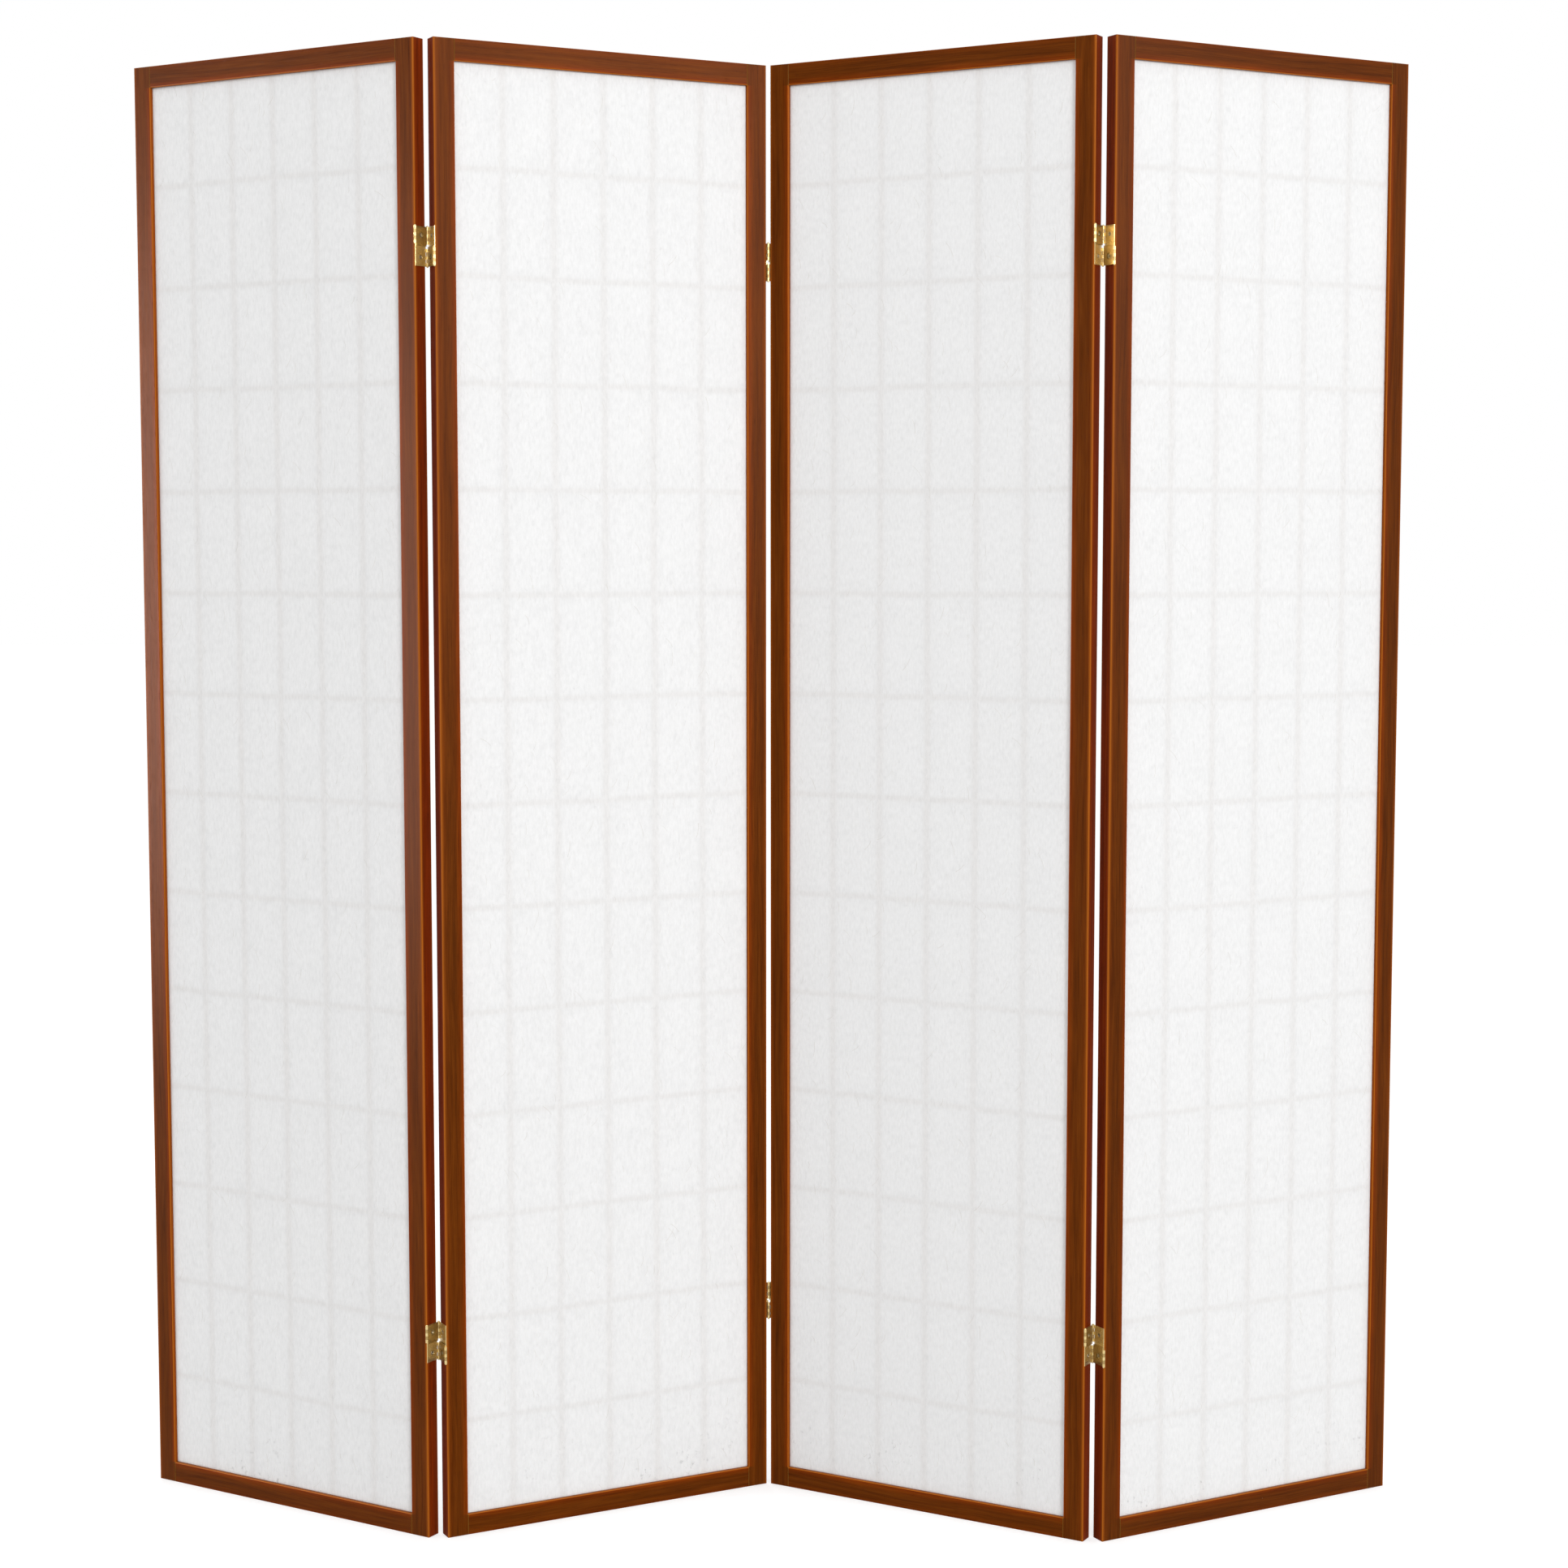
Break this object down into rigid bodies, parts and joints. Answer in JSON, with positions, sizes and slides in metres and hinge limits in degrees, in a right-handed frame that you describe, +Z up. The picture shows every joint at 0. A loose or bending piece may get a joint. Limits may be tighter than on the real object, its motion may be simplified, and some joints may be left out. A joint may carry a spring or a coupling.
{
  "type": "folding shoji screen",
  "caption": "Free-standing folding screen: tenoned wooden frames with paper over a half-lapped lattice, joined by two-way brass hinges to stand in a zigzag or fold flat.",
  "frame": {"origin": "middle of the standing screen's outline on the floor", "axes": "+Z up, +X along the row of panels to the right seen from the papered front, +Y to the back"},
  "size_m": [1.5678, 0.2344, 1.784],
  "materials": {
    "wood": "satin",
    "paper": "matte",
    "brass": "polished",
    "screws": "satin"
  },
  "bodies": {
    "panel_1": {"panel_1_left_stile": "wood", "panel_1_right_stile": "wood", "panel_1_top_rail": "wood", "panel_1_bottom_rail": "wood", "panel_1_paper": "paper", "panel_1_upright_bars": "wood", "panel_1_cross_bars": "wood", "panel_1_hinge_screws": "screws", "panel_1_hinge_pins": "brass", "hinge_12_bottom_left_leaf": "brass", "hinge_12_bottom_upper_plate": "brass", "hinge_12_top_left_leaf": "brass", "hinge_12_top_upper_plate": "brass"},
    "panel_2": {"panel_2_left_stile": "wood", "panel_2_right_stile": "wood", "panel_2_top_rail": "wood", "panel_2_bottom_rail": "wood", "panel_2_paper": "paper", "panel_2_upright_bars": "wood", "panel_2_cross_bars": "wood", "panel_2_hinge_screws": "screws", "panel_2_hinge_pins": "brass", "hinge_12_bottom_right_leaf": "brass", "hinge_12_bottom_lower_plate": "brass", "hinge_12_top_right_leaf": "brass", "hinge_12_top_lower_plate": "brass", "hinge_23_bottom_left_leaf": "brass", "hinge_23_bottom_lower_plate": "brass", "hinge_23_top_left_leaf": "brass", "hinge_23_top_lower_plate": "brass"},
    "panel_3": {"panel_3_left_stile": "wood", "panel_3_right_stile": "wood", "panel_3_top_rail": "wood", "panel_3_bottom_rail": "wood", "panel_3_paper": "paper", "panel_3_upright_bars": "wood", "panel_3_cross_bars": "wood", "panel_3_hinge_screws": "screws", "panel_3_hinge_pins": "brass", "hinge_23_bottom_right_leaf": "brass", "hinge_23_bottom_upper_plate": "brass", "hinge_23_top_right_leaf": "brass", "hinge_23_top_upper_plate": "brass", "hinge_34_bottom_left_leaf": "brass", "hinge_34_bottom_upper_plate": "brass", "hinge_34_top_left_leaf": "brass", "hinge_34_top_upper_plate": "brass"},
    "panel_4": {"panel_4_left_stile": "wood", "panel_4_right_stile": "wood", "panel_4_top_rail": "wood", "panel_4_bottom_rail": "wood", "panel_4_paper": "paper", "panel_4_upright_bars": "wood", "panel_4_cross_bars": "wood", "panel_4_hinge_screws": "screws", "panel_4_hinge_pins": "brass", "hinge_34_bottom_right_leaf": "brass", "hinge_34_bottom_lower_plate": "brass", "hinge_34_top_right_leaf": "brass", "hinge_34_top_lower_plate": "brass"}
  },
  "joints": [
    {"name": "fold_12", "type": "hinge", "parent": "panel_2", "child": "panel_1", "pos_m": [-0.39507, -0.09742, 0.892], "axis": [0, 0, -1], "range_deg": [-58.15, 121.85]},
    {"name": "fold_23", "type": "hinge", "parent": "panel_2", "child": "panel_3", "pos_m": [-0.00059, 0.09156, 0.892], "axis": [0, 0, -1], "range_deg": [-57.1, 122.1]},
    {"name": "fold_34", "type": "hinge", "parent": "panel_3", "child": "panel_4", "pos_m": [0.39447, -0.09622, 0.892], "axis": [0, 0, 1], "range_deg": [-57.8, 122.2]}
  ]
}
